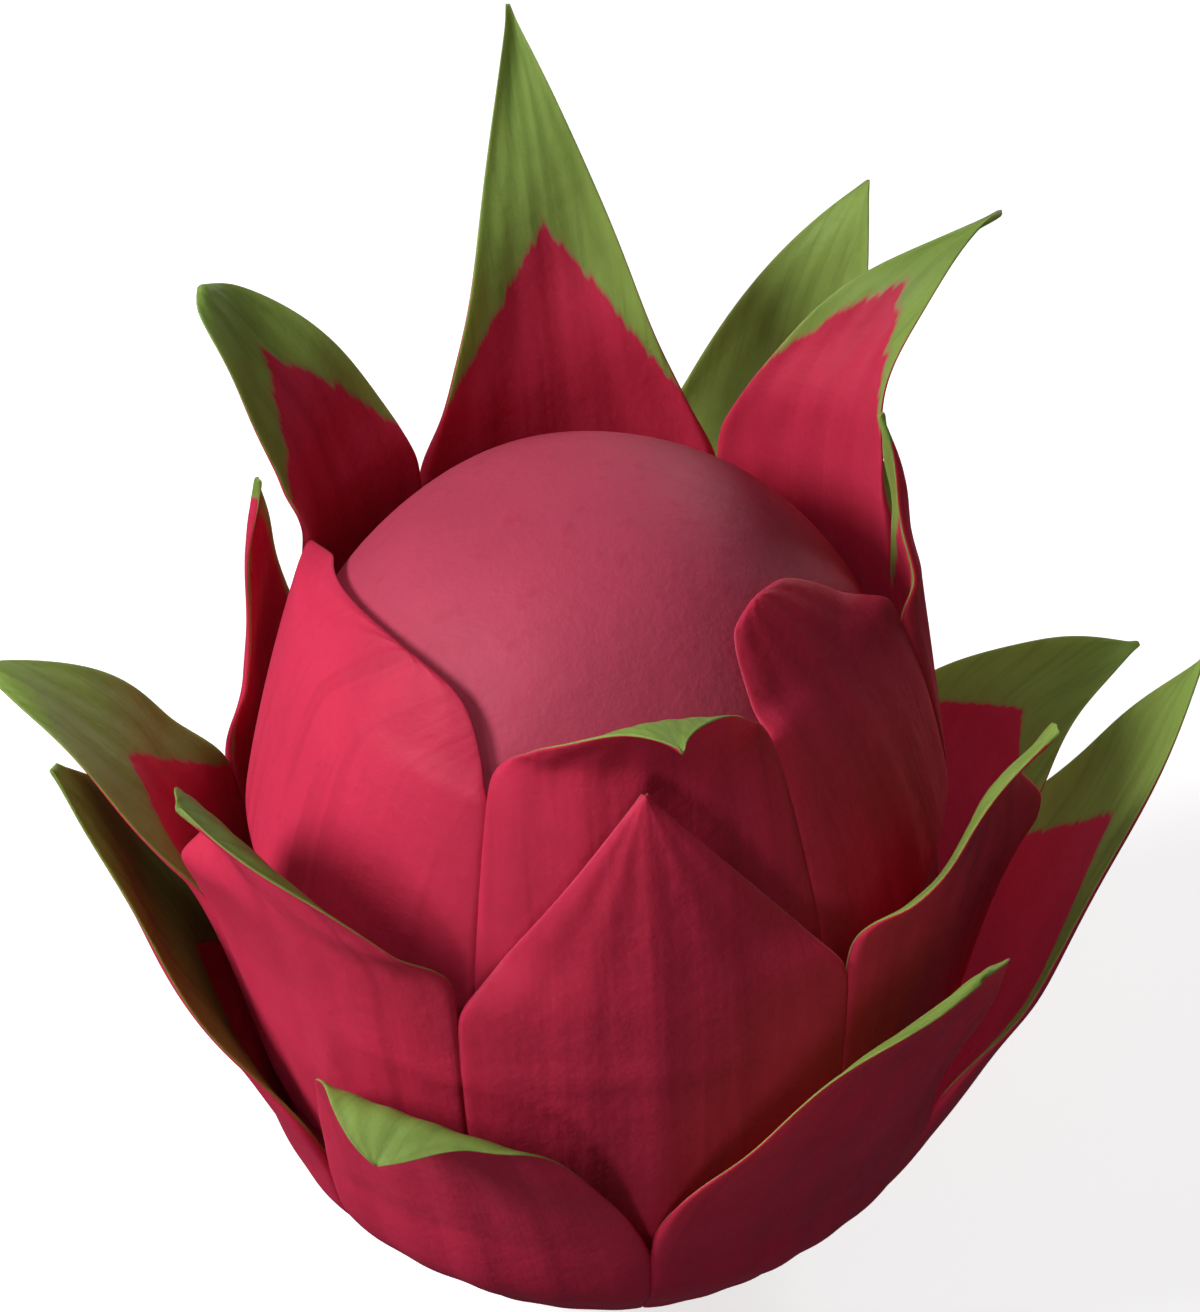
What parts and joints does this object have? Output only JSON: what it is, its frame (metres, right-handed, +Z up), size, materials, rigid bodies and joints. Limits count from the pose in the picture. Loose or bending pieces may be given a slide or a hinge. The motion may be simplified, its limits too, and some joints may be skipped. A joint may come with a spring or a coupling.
{
  "type": "dragon fruit",
  "caption": "Whole pitaya standing on its stem end, a fleshy egg-shaped body wrapped in overlapping leaf-like scales with green tips.",
  "frame": {"origin": "centre of the small flat rest spot at the stem end, on the surface the fruit stands on", "axes": "+Z up along the standing fruit, -Y towards the viewer at the fruit's front, +X to the viewer's right"},
  "size_m": [0.1549, 0.1194, 0.151],
  "materials": {
    "body_skin": "waxy satin, light pink red",
    "crown_scale_skin": "waxy satin, pink red with green tips",
    "middle_scale_skin": "waxy satin, crimson with green tips",
    "lower_scale_skin": "waxy satin, deep crimson with green tips"
  },
  "bodies": {
    "root": {"crown_scale_front": "crown_scale_skin", "crown_scale_front_left": "crown_scale_skin", "crown_scale_front_right": "crown_scale_skin", "crown_scale_rear": "crown_scale_skin", "crown_scale_rear_left": "crown_scale_skin", "crown_scale_rear_right": "crown_scale_skin", "crown_scale_right": "crown_scale_skin", "fruit_body": "body_skin", "lower_scale_front_left": "lower_scale_skin", "lower_scale_front_right": "lower_scale_skin", "lower_scale_left": "lower_scale_skin", "lower_scale_rear": "lower_scale_skin", "lower_scale_rear_left": "lower_scale_skin", "lower_scale_rear_right": "lower_scale_skin", "lower_scale_right": "lower_scale_skin", "middle_scale_front": "middle_scale_skin", "middle_scale_front_left": "middle_scale_skin", "middle_scale_front_right": "middle_scale_skin", "middle_scale_left": "middle_scale_skin", "middle_scale_rear": "middle_scale_skin", "middle_scale_rear_left": "middle_scale_skin", "middle_scale_rear_right": "middle_scale_skin", "middle_scale_right": "middle_scale_skin"}
  },
  "joints": []
}
